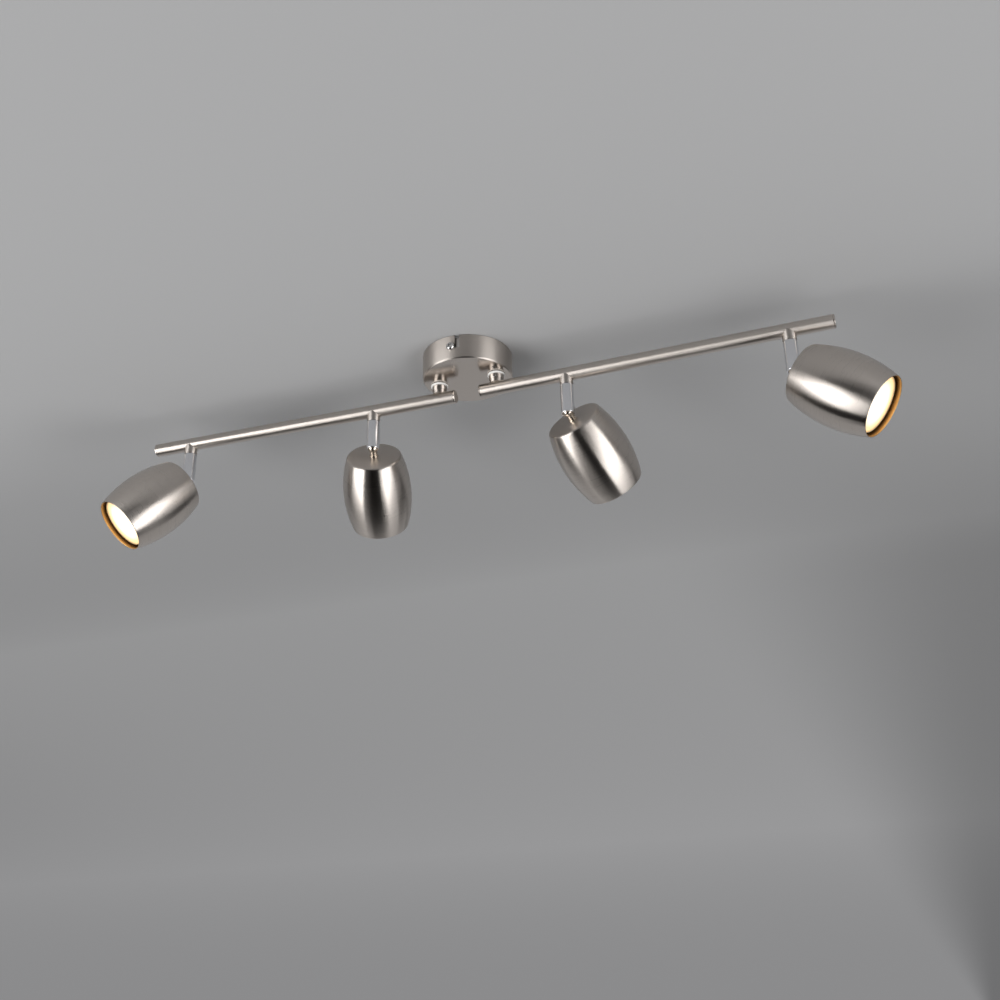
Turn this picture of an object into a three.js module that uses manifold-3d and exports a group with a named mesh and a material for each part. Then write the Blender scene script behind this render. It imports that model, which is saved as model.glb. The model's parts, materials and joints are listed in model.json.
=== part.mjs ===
// A ceiling spotlight bar in brushed nickel: a round canopy, two swinging arms, four turning spots.
// Millimetres, +Z up. The origin is the middle of the canopy's top, on the ceiling.
// The arms lie along X, the canopy screws along Y, and nothing stands above z = 0.

import * as THREE from 'three';
import { mergeVertices } from 'three/addons/utils/BufferGeometryUtils.js';
import Module from 'manifold-3d';

const wasm = await Module();
wasm.setup();

// ---- Driving dimensions ----

const GAP = 0.3; // clearance between pieces that touch

const CANOPY = { radius: 42.5, height: 24.5, wall: 1.2, edge: 1.2 };
const BRACKET = { width: 18, thickness: 1.5, reach: 39.4, flange: 17 };
const BRACKET_SLOT = { spacing: 50, width: 5, length: 9 };
const SIDE_SCREW = { z: -11.3, headRadius: 3.9, headHeight: 2.6, shankRadius: 1.9, length: 8 };
const BAYONET = { width: 4.3, offset: 6.1 };
const TERMINAL = { width: 13, length: 24, height: 13, y: 16, pitch: 7.5, wireRadius: 1.8, screwRadius: 1.6 };
const EARTH_SCREW = { y: -13, headRadius: 3.6, headHeight: 2.4, shankRadius: 1.7, length: 1.6 };

const POST = { x: 28.9, radius: 7.1, height: 4.4, bore: 3 };
const COLLAR = { radius: 6.5, depth: 3.5 }; // below the post, astride the rail
const SPIGOT = { radius: 4.9, beyondNut: 1.5 }; // above the post, through the cup and its lock nut
const WASHER = { radius: 8.2, thickness: 1.5 };
const LOCK_NUT = { acrossFlats: 14, height: 5 };
const GRUB = { radius: 1.7, length: 2.9, socket: 0.9, socketDepth: 1.5, sunk: 0.2, holeWall: 0.6 };

const RAIL = { radius: 6.35, wall: 1, z: -39.3, inner: 12.5, outer: 338.4, wireHole: 3 };
const END_CAP = { thickness: 1.5, plug: 6, chamfer: 0.5 };

const SPOT_X = [97, 298.6]; // where the inner and the outer spot hang on an arm
const SLEEVE = { radius: 6.2, bottom: -51, bore: 3, spigotRadius: 4.7, spigot: 9 };
const TUBE = { radius: 6.2, bore: 5.2, bottom: -80.2, edge: 0.6, lip: 4.8, lipHeight: 0.5, lipSlope: 0.4 };
const PIVOT_Z = -78.3;
const BALL = { radius: 4.9, neckRadius: 3.3, bore: 1.7, collarRadius: 4.1, collar: 1.1, neckBeyondNut: 0.6 };
const BALL_SEAT = { radius: 4.9, bore: 2.6, height: 3, rise: 3.9 };

const SHADE = { capFace: 9, length: 77, widest: 40.4, radius: 33, arc: 119, round: 2.5, wall: 1, hole: 3.7 };
const SHADE_NUT = { acrossFlats: 12, height: 3.5 };
const HOLDER = { radius: 12.5, shoulder: 4, pinHole: 2.9 };
const LAMP = { radius: 25, length: 46.5, rim: 3.2, baseRadius: 10.5, base: 8 };
const LAMP_PIN = { radius: 2.4, length: 7, spacing: 10 };
const LENS = { radius: 23.9, thickness: 1.4, recess: 5.5, dome: 0.4, rimLip: 0.6 };

// How each piece is set when the fixture hangs at rest, in degrees.
// An arm's swing is from straight out, and a spot's heading is the way that it leans, from +X.
const ARMS = [
  { name: 'left', facing: 180, swing: 2.0, spots: [{ number: 2, slot: 0 }, { number: 1, slot: 1 }] },
  { name: 'right', facing: 0, swing: 0.3, spots: [{ number: 3, slot: 0 }, { number: 4, slot: 1 }] },
];
const SPOT_POSE = {
  1: { heading: 228.3, tilt: 44.9 },
  2: { heading: 108.8, tilt: 54.7 },
  3: { heading: 70.7, tilt: 54.9 },
  4: { heading: -6, tilt: 51.7 },
};

const ROUND = 24; // sides on the large turned pieces
const MEDIUM = 18; // sides on the rails, posts and lamps
const SMALL = 14; // sides on the small turned pieces

// ---- Materials ----

function metal(color, roughness) {
  return new THREE.MeshStandardMaterial({ color, roughness, metalness: 1 });
}

function plain(color, roughness) {
  return new THREE.MeshStandardMaterial({ color, roughness, metalness: 0 });
}

const brushedNickel = metal(0xa8a09a, 0.35);
const chrome = metal(0xd8d8da, 0.08);
const zincSteel = metal(0x9a9c9e, 0.45);
const brass = metal(0xb09468, 0.3);
const whiteNylon = plain(0xe8e6e2, 0.5);
const ceramic = plain(0xe4e0d6, 0.6);
const lampWhite = plain(0xf0ede6, 0.4);
const lampGlass = new THREE.MeshStandardMaterial({ color: 0xfff2d8, roughness: 0.2, emissive: 0xffe0b0 });

// ---- Geometry helpers ----

const radians = THREE.MathUtils.degToRad;

// Turns a closed outline of [radius, z] points about the Z axis.
function turned(outline, sides) {
  const points = [...outline, outline[0]].map(([r, z]) => new THREE.Vector2(r, z));
  return new THREE.LatheGeometry(points, sides).rotateX(Math.PI / 2);
}

// A rod or disc along Z, from z = low to z = high.
function rod(radius, low, high, sides = SMALL) {
  const shape = new THREE.CylinderGeometry(radius, radius, high - low, sides);
  return shape.rotateX(Math.PI / 2).translate(0, 0, (low + high) / 2);
}

// A pipe along Z with an outer and an inner radius.
function pipe(outer, inner, low, high, sides = SMALL) {
  return turned([[inner, low], [outer, low], [outer, high], [inner, high]], sides);
}

function block(width, depth, height) {
  return new THREE.BoxGeometry(width, depth, height);
}

// A hexagonal nut along Z with a round hole.
function hexNut(acrossFlats, hole, low, high) {
  const corner = acrossFlats / Math.sqrt(3);
  return cut(rod(corner, low, high, 6), rod(hole, low - 1, high + 1));
}

function solid(geometry) {
  const bare = geometry.clone();
  bare.deleteAttribute('normal');
  bare.deleteAttribute('uv');
  const merged = mergeVertices(bare, 1e-4);
  const vertProperties = new Float32Array(merged.attributes.position.array);
  let triVerts = withoutSlivers(merged.index.array);
  if (volume(vertProperties, triVerts) < 0) {
    triVerts = triVerts.map((_, i) => triVerts[i - (i % 3) + 2 - (i % 3)]);
  }
  return new wasm.Manifold(new wasm.Mesh({ numProp: 3, vertProperties, triVerts }));
}

// Drops triangles that lost a corner when their vertices were merged.
function withoutSlivers(index) {
  const kept = [];
  for (let i = 0; i < index.length; i += 3) {
    const [a, b, c] = [index[i], index[i + 1], index[i + 2]];
    if (a !== b && b !== c && c !== a) kept.push(a, b, c);
  }
  return new Uint32Array(kept);
}

function volume(positions, index) {
  const corner = (i) => new THREE.Vector3().fromArray(positions, 3 * index[i]);
  let sum = 0;
  for (let i = 0; i < index.length; i += 3) {
    sum += corner(i).dot(corner(i + 1).cross(corner(i + 2)));
  }
  return sum / 6;
}

function geometryOf(manifold) {
  const { vertProperties, triVerts, numProp } = manifold.getMesh();
  const positions = [];
  for (let i = 0; i < vertProperties.length; i += numProp) {
    positions.push(vertProperties[i], vertProperties[i + 1], vertProperties[i + 2]);
  }
  const geometry = new THREE.BufferGeometry();
  geometry.setAttribute('position', new THREE.Float32BufferAttribute(positions, 3));
  geometry.setIndex([...triVerts]);
  return geometry;
}

function cut(body, ...tools) {
  return geometryOf(tools.reduce((rest, tool) => rest.subtract(solid(tool)), solid(body)));
}

function join(first, ...others) {
  return geometryOf(others.reduce((sum, other) => sum.add(solid(other)), solid(first)));
}

function named(name, geometry, material) {
  const mesh = new THREE.Mesh(geometryOf(solid(geometry)), material);
  mesh.geometry.computeVertexNormals();
  mesh.name = name;
  return mesh;
}

// A rod along X that is the rail with a little clearance, for cutting saddles.
function railCutter() {
  return rod(RAIL.radius + GAP, -20, 20, ROUND).rotateY(Math.PI / 2).translate(0, 0, RAIL.z);
}

// ---- Canopy group ----

// The cup's slot on one side: in at the rim, down, and sideways to the screw.
function bayonetSlot(side) {
  const depth = 8;
  const y = side * (CANOPY.radius - 2);
  const x = -side * BAYONET.offset;
  const leg = -SIDE_SCREW.z + BAYONET.width / 2;
  const down = block(BAYONET.width, depth, leg + 1).translate(x, y, 1 - (leg + 1) / 2);
  const across = block(Math.abs(x), depth, BAYONET.width).translate(x / 2, y, SIDE_SCREW.z);
  const seat = rod(BAYONET.width / 2, -depth / 2, depth / 2).rotateX(Math.PI / 2);
  return join(down, across, seat.translate(0, y, SIDE_SCREW.z));
}

function canopyCup() {
  const { radius, height, wall, edge } = CANOPY;
  const cup = turned([
    [0, -height], [radius - edge, -height], [radius - edge * 0.3, -height + edge * 0.3],
    [radius, -height + edge], [radius, 0], [radius - wall, 0],
    [radius - wall, -height + wall], [0, -height + wall],
  ], 2 * ROUND);
  const postHoles = [-1, 1].map((side) => {
    const hole = rod(SPIGOT.radius + GAP, -height - 1, -height + 3);
    return hole.translate(side * POST.x, 0, 0);
  });
  return cut(cup, bayonetSlot(-1), bayonetSlot(1), ...postHoles);
}

// A strip under the ceiling with both ends bent down inside the cup.
function mountingBracket() {
  const { width, thickness, reach, flange } = BRACKET;
  const strip = block(width, 2 * reach, thickness).translate(0, 0, -thickness / 2);
  const ends = [-1, 1].map((side) => {
    return block(width, thickness, flange).translate(0, side * (reach - thickness / 2), -flange / 2);
  });
  const slots = [-1, 1].map((side) => {
    const straight = BRACKET_SLOT.length - BRACKET_SLOT.width;
    const middle = block(BRACKET_SLOT.width, straight, 6);
    const tips = [-1, 1].map((tip) => {
      return rod(BRACKET_SLOT.width / 2, -3, 3).translate(0, tip * straight / 2, 0);
    });
    return join(middle, ...tips).translate(0, side * BRACKET_SLOT.spacing / 2, 0);
  });
  const screwHoles = [-1, 1].map((side) => {
    const hole = rod(SIDE_SCREW.shankRadius + GAP, -4, 4).rotateX(Math.PI / 2);
    return hole.translate(0, side * reach, SIDE_SCREW.z);
  });
  const earthHole = rod(EARTH_SCREW.shankRadius + GAP, -4, 4).translate(0, EARTH_SCREW.y, 0);
  return cut(join(strip, ...ends), ...slots, ...screwHoles, earthHole);
}

// A domed screw pointing along -Z, its head resting on z = 0, with a cross recess.
function domedScrew({ headRadius, headHeight, shankRadius, length }) {
  const shoulder = headHeight * 0.45;
  const screw = turned([
    [0, -length], [shankRadius, -length], [shankRadius, 0], [headRadius, 0], [headRadius, shoulder],
    [headRadius * 0.82, headHeight * 0.82], [headRadius * 0.45, headHeight], [0, headHeight],
  ], SMALL);
  const arms = [0, 1].map((turn) => {
    const arm = block(headRadius * 1.1, headRadius * 0.28, headHeight);
    return arm.rotateZ(turn * Math.PI / 2).translate(0, 0, headHeight);
  });
  return cut(screw, join(...arms));
}

function sideScrew(side) {
  const screw = domedScrew(SIDE_SCREW).rotateX(-side * Math.PI / 2);
  return screw.translate(0, side * (CANOPY.radius + GAP), SIDE_SCREW.z);
}

function earthScrew() {
  const screw = domedScrew(EARTH_SCREW).rotateX(Math.PI);
  return screw.translate(0, EARTH_SCREW.y, -BRACKET.thickness - GAP);
}

// A block with three pairs of wire holes and the clamping screws' wells under them.
function terminalBlock() {
  const { width, length, height, y, pitch, wireRadius, screwRadius } = TERMINAL;
  const body = block(width, length, height);
  const ports = [-1, 0, 1].map((row) => {
    const wire = rod(wireRadius, -width, width, 8).rotateY(Math.PI / 2).translate(0, 0, height * 0.1);
    const screws = [-1, 1].map((end) => {
      return rod(screwRadius, -3, 3, 8).translate(end * width / 4, 0, -height / 2);
    });
    return join(wire, ...screws).translate(0, row * pitch, 0);
  });
  return cut(body, ...ports).translate(0, y, -BRACKET.thickness - GAP - height / 2);
}

function canopyGroup() {
  const group = new THREE.Group();
  group.add(
    named('canopy_cup', canopyCup(), brushedNickel),
    named('mounting_bracket', mountingBracket(), zincSteel),
    named('terminal_block', terminalBlock(), whiteNylon),
    named('earth_screw', earthScrew(), brass),
    named('side_screw_front', sideScrew(-1), chrome),
    named('side_screw_back', sideScrew(1), chrome),
  );
  return group;
}

// ---- Arm: a post that turns in the canopy, and the rail that it carries ----

// The post's washer lies against the canopy, and its collar sits astride the rail.
const WASHER_TOP = -CANOPY.height - GAP;
const POST_TOP = WASHER_TOP - WASHER.thickness - GAP;
const LOCK_NUT_LOW = -CANOPY.height + CANOPY.wall + GAP;
const SPIGOT_TOP = LOCK_NUT_LOW + LOCK_NUT.height + SPIGOT.beyondNut;

function swivelPost() {
  const shoulder = POST_TOP - POST.height;
  const post = turned([
    [POST.bore, shoulder - COLLAR.depth], [COLLAR.radius, shoulder - COLLAR.depth],
    [COLLAR.radius, shoulder], [POST.radius, shoulder], [POST.radius, POST_TOP],
    [SPIGOT.radius, POST_TOP], [SPIGOT.radius, SPIGOT_TOP], [POST.bore, SPIGOT_TOP],
  ], MEDIUM);
  return cut(post, railCutter(), grubHole());
}

// A blind hole that stops short of the post's bore.
function grubHole() {
  const depth = POST.radius - POST.bore - GRUB.holeWall;
  const hole = rod(GRUB.radius + GAP, -depth, depth).rotateX(Math.PI / 2);
  return hole.translate(0, -POST.radius, POST_TOP - POST.height / 2);
}

function grubScrew() {
  const socket = rod(GRUB.socket, -GRUB.socketDepth, 1, 6);
  const screw = cut(rod(GRUB.radius, -GRUB.length, 0, 12), socket);
  return screw.rotateX(Math.PI / 2).translate(0, -POST.radius + GRUB.sunk, POST_TOP - POST.height / 2);
}

function frictionWasher() {
  const low = WASHER_TOP - WASHER.thickness;
  return pipe(WASHER.radius, SPIGOT.radius + GAP, low, WASHER_TOP, MEDIUM);
}

function lockNut() {
  const high = LOCK_NUT_LOW + LOCK_NUT.height;
  return hexNut(LOCK_NUT.acrossFlats, SPIGOT.radius + GAP, LOCK_NUT_LOW, high);
}

// The rail runs along X, with a wire hole up into the post and one down into each spot.
function railTube() {
  const start = RAIL.inner - POST.x + END_CAP.thickness + GAP;
  const end = RAIL.outer - POST.x - END_CAP.thickness - GAP;
  const tube = pipe(RAIL.radius, RAIL.radius - RAIL.wall, start, end, MEDIUM);
  const up = rod(RAIL.wireHole, 0, RAIL.radius + 2).translate(0, 0, RAIL.z);
  const down = SPOT_X.map((x) => {
    return rod(RAIL.wireHole, -RAIL.radius - 2, 0).translate(x - POST.x, 0, RAIL.z);
  });
  return cut(tube.rotateY(Math.PI / 2).translate(0, 0, RAIL.z), up, ...down);
}

// A flat plug with a bevelled edge. It faces along +X for direction 1 and -X for -1.
function endCap(direction, x) {
  const inside = RAIL.radius - RAIL.wall - GAP;
  const { thickness, plug, chamfer } = END_CAP;
  const cap = turned([
    [0, 0], [RAIL.radius - chamfer, 0], [RAIL.radius, -chamfer], [RAIL.radius, -thickness],
    [inside, -thickness], [inside, -thickness - plug], [0, -thickness - plug],
  ], MEDIUM);
  return cap.rotateY(direction * Math.PI / 2).translate(x, 0, RAIL.z);
}

function armGroup({ name, facing, swing, spots }) {
  const group = new THREE.Group();
  const side = facing === 0 ? 1 : -1;
  group.position.x = side * POST.x;
  group.rotation.z = radians(facing + swing);
  group.add(
    named(`swivel_post_${name}`, swivelPost(), brushedNickel),
    named(`friction_washer_${name}`, frictionWasher(), whiteNylon),
    named(`lock_nut_${name}`, lockNut(), zincSteel),
    named(`grub_screw_${name}`, grubScrew(), zincSteel),
    named(`rail_tube_${name}`, railTube(), brushedNickel),
    named(`inner_end_cap_${name}`, endCap(-1, RAIL.inner - POST.x), brushedNickel),
    named(`outer_end_cap_${name}`, endCap(1, RAIL.outer - POST.x), brushedNickel),
  );
  for (const { number, slot } of spots) {
    group.add(spotGroup(number, SPOT_X[slot] - POST.x, facing + swing));
  }
  return group;
}

// ---- Spot: a sleeve fixed under the rail, a tube that turns on it, and a head that tilts ----

// The sleeve's top sits astride the rail, and its spigot goes down into the tube.
function stemSleeve() {
  const { radius, bottom, bore, spigotRadius, spigot } = SLEEVE;
  const sleeve = turned([
    [bore, RAIL.z], [bore, bottom - spigot], [spigotRadius, bottom - spigot],
    [spigotRadius, bottom], [radius, bottom], [radius, RAIL.z],
  ], MEDIUM);
  return cut(sleeve, railCutter());
}

// The tube's foot holds the ball on a lip, with a slot on the +X side for the neck to swing up.
function stemTube() {
  const { radius, bore, bottom, edge, lip, lipHeight, lipSlope } = TUBE;
  const tube = turned([
    [lip, bottom], [radius - edge, bottom], [radius, bottom + edge], [radius, SLEEVE.bottom - GAP],
    [bore, SLEEVE.bottom - GAP], [bore, bottom + lipHeight + lipSlope], [lip, bottom + lipHeight],
  ], MEDIUM);
  const slotHalf = BALL.neckRadius + GAP;
  const drop = PIVOT_Z - bottom + 1;
  const slot = block(radius + 2, 2 * slotHalf, drop).translate(radius / 2 + 1, 0, PIVOT_Z - drop / 2);
  const slotTop = rod(slotHalf, 0, radius + 2).rotateY(Math.PI / 2).translate(0, 0, PIVOT_Z);
  return cut(tube, join(slot, slotTop));
}

// A ring with a hollow underside that presses on the ball.
function ballSeat() {
  const { radius, bore, height, rise } = BALL_SEAT;
  const low = PIVOT_Z + rise;
  const contact = Math.sqrt((BALL.radius + GAP) ** 2 - rise ** 2);
  return turned([
    [bore, PIVOT_Z + BALL.radius], [contact, low], [radius, low],
    [radius, low + height], [bore, low + height],
  ], SMALL);
}

// Everything in the head is turned about its own axis, which runs down from the pivot at z = 0.
const SHADE_NUT_TOP = -SHADE.capFace - SHADE.wall - GAP;
const NECK_END = SHADE_NUT_TOP - SHADE_NUT.height - BALL.neckBeyondNut;
const HOLDER_TOP = NECK_END - GAP;
const LENS_FACE = -SHADE.capFace - SHADE.length + LENS.recess;
const LAMP_TOP = LENS_FACE + LAMP.length;

// A hollow ball and its neck, which passes through the shade's cap.
function knuckle() {
  const { radius, neckRadius, bore, collarRadius, collar } = BALL;
  const outline = [];
  const steps = 5;
  const first = Math.acos(bore / radius);
  const last = -Math.acos(neckRadius / radius);
  for (let i = 0; i <= steps; i += 1) {
    const angle = first + (last - first) * i / steps;
    outline.push([radius * Math.cos(angle), radius * Math.sin(angle)]);
  }
  const foot = -SHADE.capFace + GAP;
  outline.push([neckRadius, foot + collar], [collarRadius, foot + collar], [collarRadius, foot]);
  outline.push([neckRadius, foot], [neckRadius, NECK_END], [bore, NECK_END]);
  return turned(outline, SMALL);
}

// The shade's outer radius at a distance below its cap face: one arc, widest near the middle.
function shadeRadius(below) {
  const away = below - SHADE.widest;
  return SHADE.radius - SHADE.arc + Math.sqrt(SHADE.arc ** 2 - away ** 2);
}

// A barrel-shaped can: a flat cap with a round edge, one bulging wall, and an open mouth.
function shade() {
  const { capFace, length, round, wall, hole } = SHADE;
  const outside = [];
  const inside = [];
  for (let i = 0; i <= 2; i += 1) {
    const angle = (Math.PI / 2) * (1 - i / 3);
    const edge = shadeRadius(round) - round;
    outside.push([edge + round * Math.cos(angle), round - round * Math.sin(angle)]);
  }
  const steps = 5;
  for (let i = 0; i <= steps; i += 1) {
    const below = round + (length - round) * i / steps;
    outside.push([shadeRadius(below), below]);
    inside.push([shadeRadius(below) - wall, below]);
  }
  inside[0] = [shadeRadius(round) - round, wall];
  const outline = [[hole, 0], ...outside, ...inside.reverse(), [hole, wall]];
  return turned(outline.map(([r, below]) => [r, -capFace - below]), ROUND);
}

function shadeNut() {
  const low = SHADE_NUT_TOP - SHADE_NUT.height;
  return hexNut(SHADE_NUT.acrossFlats, BALL.neckRadius + GAP, low, SHADE_NUT_TOP);
}

function lampPins(radius, extra) {
  return [-1, 1].map((side) => {
    const pin = rod(radius, LAMP_TOP - 1, LAMP_TOP + LAMP_PIN.length + extra, 12);
    return pin.translate(0, side * LAMP_PIN.spacing / 2, 0);
  });
}

// The ceramic socket hangs under the neck and takes the lamp's two pins.
function lampHolder() {
  const { radius, shoulder, pinHole } = HOLDER;
  const bottom = LAMP_TOP + GAP;
  const body = turned([
    [0, bottom], [radius, bottom], [radius, HOLDER_TOP - shoulder], [radius - shoulder, HOLDER_TOP],
    [0, HOLDER_TOP],
  ], SMALL);
  return cut(body, ...lampPins(pinHole, 1));
}

// A reflector lamp: a base with two pins, a flaring body, and a rim around the front lens.
function lampBody() {
  const { radius, rim, baseRadius, base } = LAMP;
  const seat = LENS_FACE + LENS.thickness + GAP;
  const front = LENS_FACE - LENS.rimLip;
  const body = turned([
    [0, seat], [LENS.radius + GAP, seat], [LENS.radius + GAP, front], [radius, front],
    [radius, LENS_FACE + rim], [radius * 0.92, LENS_FACE + rim + 4], [radius * 0.7, LENS_FACE + 22],
    [baseRadius, LAMP_TOP - base], [baseRadius, LAMP_TOP], [0, LAMP_TOP],
  ], MEDIUM);
  return join(body, ...lampPins(LAMP_PIN.radius, 0));
}

function lampLens() {
  const { radius, thickness, dome } = LENS;
  return turned([
    [0, LENS_FACE - dome], [radius * 0.6, LENS_FACE - dome / 2], [radius, LENS_FACE],
    [radius, LENS_FACE + thickness], [0, LENS_FACE + thickness],
  ], MEDIUM);
}

function spotGroup(number, x, armHeading) {
  const { heading, tilt } = SPOT_POSE[number];
  const hanger = new THREE.Group();
  hanger.position.x = x;
  hanger.add(named(`stem_sleeve_${number}`, stemSleeve(), brushedNickel));

  const turning = new THREE.Group();
  turning.rotation.z = radians(heading - armHeading);
  turning.add(
    named(`stem_tube_${number}`, stemTube(), chrome),
    named(`ball_seat_${number}`, ballSeat(), whiteNylon),
  );
  hanger.add(turning);

  const head = new THREE.Group();
  head.position.z = PIVOT_Z;
  head.rotation.y = -radians(tilt);
  head.add(
    named(`knuckle_${number}`, knuckle(), brass),
    named(`shade_${number}`, shade(), brushedNickel),
    named(`shade_nut_${number}`, shadeNut(), zincSteel),
    named(`lamp_holder_${number}`, lampHolder(), ceramic),
    named(`lamp_body_${number}`, lampBody(), lampWhite),
    named(`lamp_lens_${number}`, lampLens(), lampGlass),
  );
  turning.add(head);
  return hanger;
}

// ---- The whole fixture ----

const fixture = new THREE.Group();
fixture.add(canopyGroup());
for (const arm of ARMS) {
  fixture.add(armGroup(arm));
}

export default fixture;
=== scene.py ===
"""Looks of the ceiling spotlight bar: fine turned metalwork, lit lamps and a plain grey studio.

Each fine piece is made about its own axis, in millimetres, and set in the place of the CAD node
that it stands for. Joint positions and rest angles come from the frame's joints.
"""

import json
import math

import bmesh
import bpy
from mathutils import Matrix, Vector


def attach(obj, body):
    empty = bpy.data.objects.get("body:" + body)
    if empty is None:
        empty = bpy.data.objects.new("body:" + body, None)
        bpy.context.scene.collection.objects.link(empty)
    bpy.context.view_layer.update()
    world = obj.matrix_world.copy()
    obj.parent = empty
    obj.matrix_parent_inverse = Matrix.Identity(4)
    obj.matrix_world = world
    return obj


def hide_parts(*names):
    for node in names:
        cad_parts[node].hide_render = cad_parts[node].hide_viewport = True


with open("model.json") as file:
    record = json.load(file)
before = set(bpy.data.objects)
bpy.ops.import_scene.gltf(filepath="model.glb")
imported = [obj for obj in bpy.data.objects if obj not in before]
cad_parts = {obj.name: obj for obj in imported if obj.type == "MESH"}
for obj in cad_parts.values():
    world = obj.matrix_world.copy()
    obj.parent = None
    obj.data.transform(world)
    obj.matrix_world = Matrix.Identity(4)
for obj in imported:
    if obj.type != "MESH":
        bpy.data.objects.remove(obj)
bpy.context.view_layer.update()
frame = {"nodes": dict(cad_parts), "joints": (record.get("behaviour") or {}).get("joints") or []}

MM = 0.001

# ---- Sizes of the pieces, in millimetres: the CAD model's, apart from edge roundings and small gaps ----

CANOPY = dict(radius=42.5, height=24.5, wall=1.2, edge=1.1)
BRACKET = dict(width=18.0, thickness=1.5, reach=39.4, flange=17.0, bend=2.5, hole=2.2)
BRACKET_SLOT = dict(spacing=50.0, width=5.0, length=9.0)
EARTH_HOLE = dict(y=-13.0, radius=2.0)
LOCK_NUT = dict(across=14.0, height=5.0, low=-23.0, hole=5.2, chamfer=0.7)
SCREW = dict(z=-11.3, head=3.9, rise=2.6, shank=1.9, length=8.0, proud=0.3)
SCREW_CROSS = dict(long=1.15, short=0.24, depth=0.95, twist=32)  # parts of the head and rise, and degrees
BAYONET = dict(width=4.3, offset=6.1, depth=8, inset=2)
POST = dict(radius=7.1, top=-26.6, height=4.4, collar=6.5, collar_foot=-34.5, spigot=4.9, bore=3.0)
SPIGOT_TOP = -16.5
THREAD = dict(pitch=1.0, depth=0.35)
WASHER = dict(radius=8.2, hole=5.2, top=-24.8, thickness=1.5)
GRUB = dict(radius=1.7, socket=0.9, length=2.9)
RAIL = dict(radius=6.35, wall=1.0, z=-39.3, start=12.5, end=338.4)
CAP = dict(thickness=1.5, plug=6.0, bevel=0.6, gap=0.3, recess=0.12, seam=0.08)
SLEEVE = dict(radius=6.2, bottom=-51.0, spigot=4.7, spigot_foot=-60.0, bore=3.0)
TUBE = dict(radius=6.2, bore=5.2, top=-51.3, bottom=-80.2, lip=4.8)
BALL = dict(radius=4.9, neck=3.3, bore=1.7, collar=4.1)
SHADE = dict(cap=9.0, length=77.0, widest=40.4, radius=33.0, arc=119.0, round=2.5, wall=1.0, hole=3.7)
NECK_END = -14.4
LENS = dict(radius=23.9, thickness=1.4, recess=5.5)
LAMP = dict(radius=25.0, length=46.5, rim=3.2, base_radius=10.5, base=8.0)
LAMP_PIN = dict(radius=2.4, length=8, away=5, rise=3)

SPOT_NUMBERS = (1, 2, 3, 4)

# ---- Fineness: sides of a full turn, steps in a rounded corner, and the angle that stays a crease ----

CANOPY_SIDES = 192
SPOT_SIDES = 128
TUBE_SIDES = 96
SMALL_SIDES = 64
ROD_SIDES = 48
GRUB_SIDES = 32
CORNER_STEPS = 5
BALL_STEPS = 18
SHADE_STEPS = 40
SHARP_ANGLE = 32

# ---- Places, from the frame's joints ----

JOINTS = {joint["name"]: joint for joint in frame["joints"]}


def arm_matrix(side):
    """The frame of one arm: origin on its post's axis at the ceiling, X out along its rail."""
    joint = JOINTS[f"arm_{side}_swing"]
    low, high = joint["range_deg"]
    swing = -(low + high) / 2
    facing = 180 if side == "left" else 0
    x, y, _ = joint["pos_m"]
    return Matrix.Translation((x, y, 0)) @ Matrix.Rotation(math.radians(facing + swing), 4, "Z")


def stem_matrix(number):
    """The frame of one stem: origin on its axis at the ceiling, X the way that its spot leans."""
    joint = JOINTS[f"spot_{number}_tilt"]
    x, y, _ = joint["pos_m"]
    lean = math.atan2(joint["axis"][0], -joint["axis"][1])
    return Matrix.Translation((x, y, 0)) @ Matrix.Rotation(lean, 4, "Z")


def head_matrix(number):
    """The frame of one head: origin at the ball's centre, -Z out through the lamp."""
    joint = JOINTS[f"spot_{number}_tilt"]
    tilt = -math.radians(joint["range_deg"][0])
    drop = Matrix.Translation((0, 0, joint["pos_m"][2]))
    return stem_matrix(number) @ drop @ Matrix.Rotation(-tilt, 4, "Y")


def arm_of(number):
    return "left" if number in (1, 2) else "right"


def sleeve_matrix(number):
    """A sleeve is fixed to its arm: origin on the stem's axis, X along the rail."""
    x, y, _ = JOINTS[f"spot_{number}_tilt"]["pos_m"]
    return Matrix.Translation((x, y, 0)) @ arm_matrix(arm_of(number)).to_3x3().to_4x4()


# ---- Mesh helpers ----

MAP_SLOPE = 0.4  # how much a step out from the axis counts as a step down, in a piece's map
RING_SLOPE = 0.6  # and in the rings of its scratches


def rounded(outline):
    """Rounds the corners of a closed outline: a point's third value is its corner's radius."""
    points = []
    count = len(outline)
    for i, corner in enumerate(outline):
        here = Vector(corner[:2])
        radius = corner[2] if len(corner) > 2 else 0
        if radius == 0:
            points.append(here)
            continue
        back = (Vector(outline[i - 1][:2]) - here).normalized()
        ahead = (Vector(outline[(i + 1) % count][:2]) - here).normalized()
        half = back.angle(ahead) / 2
        reach = radius / math.tan(half)
        middle = here + (back + ahead).normalized() * (radius / math.sin(half))
        start = here + back * reach - middle
        turn = start.angle_signed(here + ahead * reach - middle)
        for step in range(CORNER_STEPS + 1):
            angle = -turn * step / CORNER_STEPS
            spun = Matrix.Rotation(angle, 2) @ start
            points.append(middle + spun)
    return points


def smoothed(piece):
    """Smooth shading, with creases where faces meet at more than the sharp angle."""
    for polygon in piece.data.polygons:
        polygon.use_smooth = True
    piece.data.set_sharp_from_angle(angle=math.radians(SHARP_ANGLE))
    return piece


def mesh_object(name, work):
    """An object in the scene from a finished bmesh."""
    bmesh.ops.recalc_face_normals(work, faces=work.faces)
    mesh = bpy.data.meshes.new(name)
    work.to_mesh(mesh)
    work.free()
    piece = bpy.data.objects.new(name, mesh)
    bpy.context.scene.collection.objects.link(piece)
    return smoothed(piece)


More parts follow.
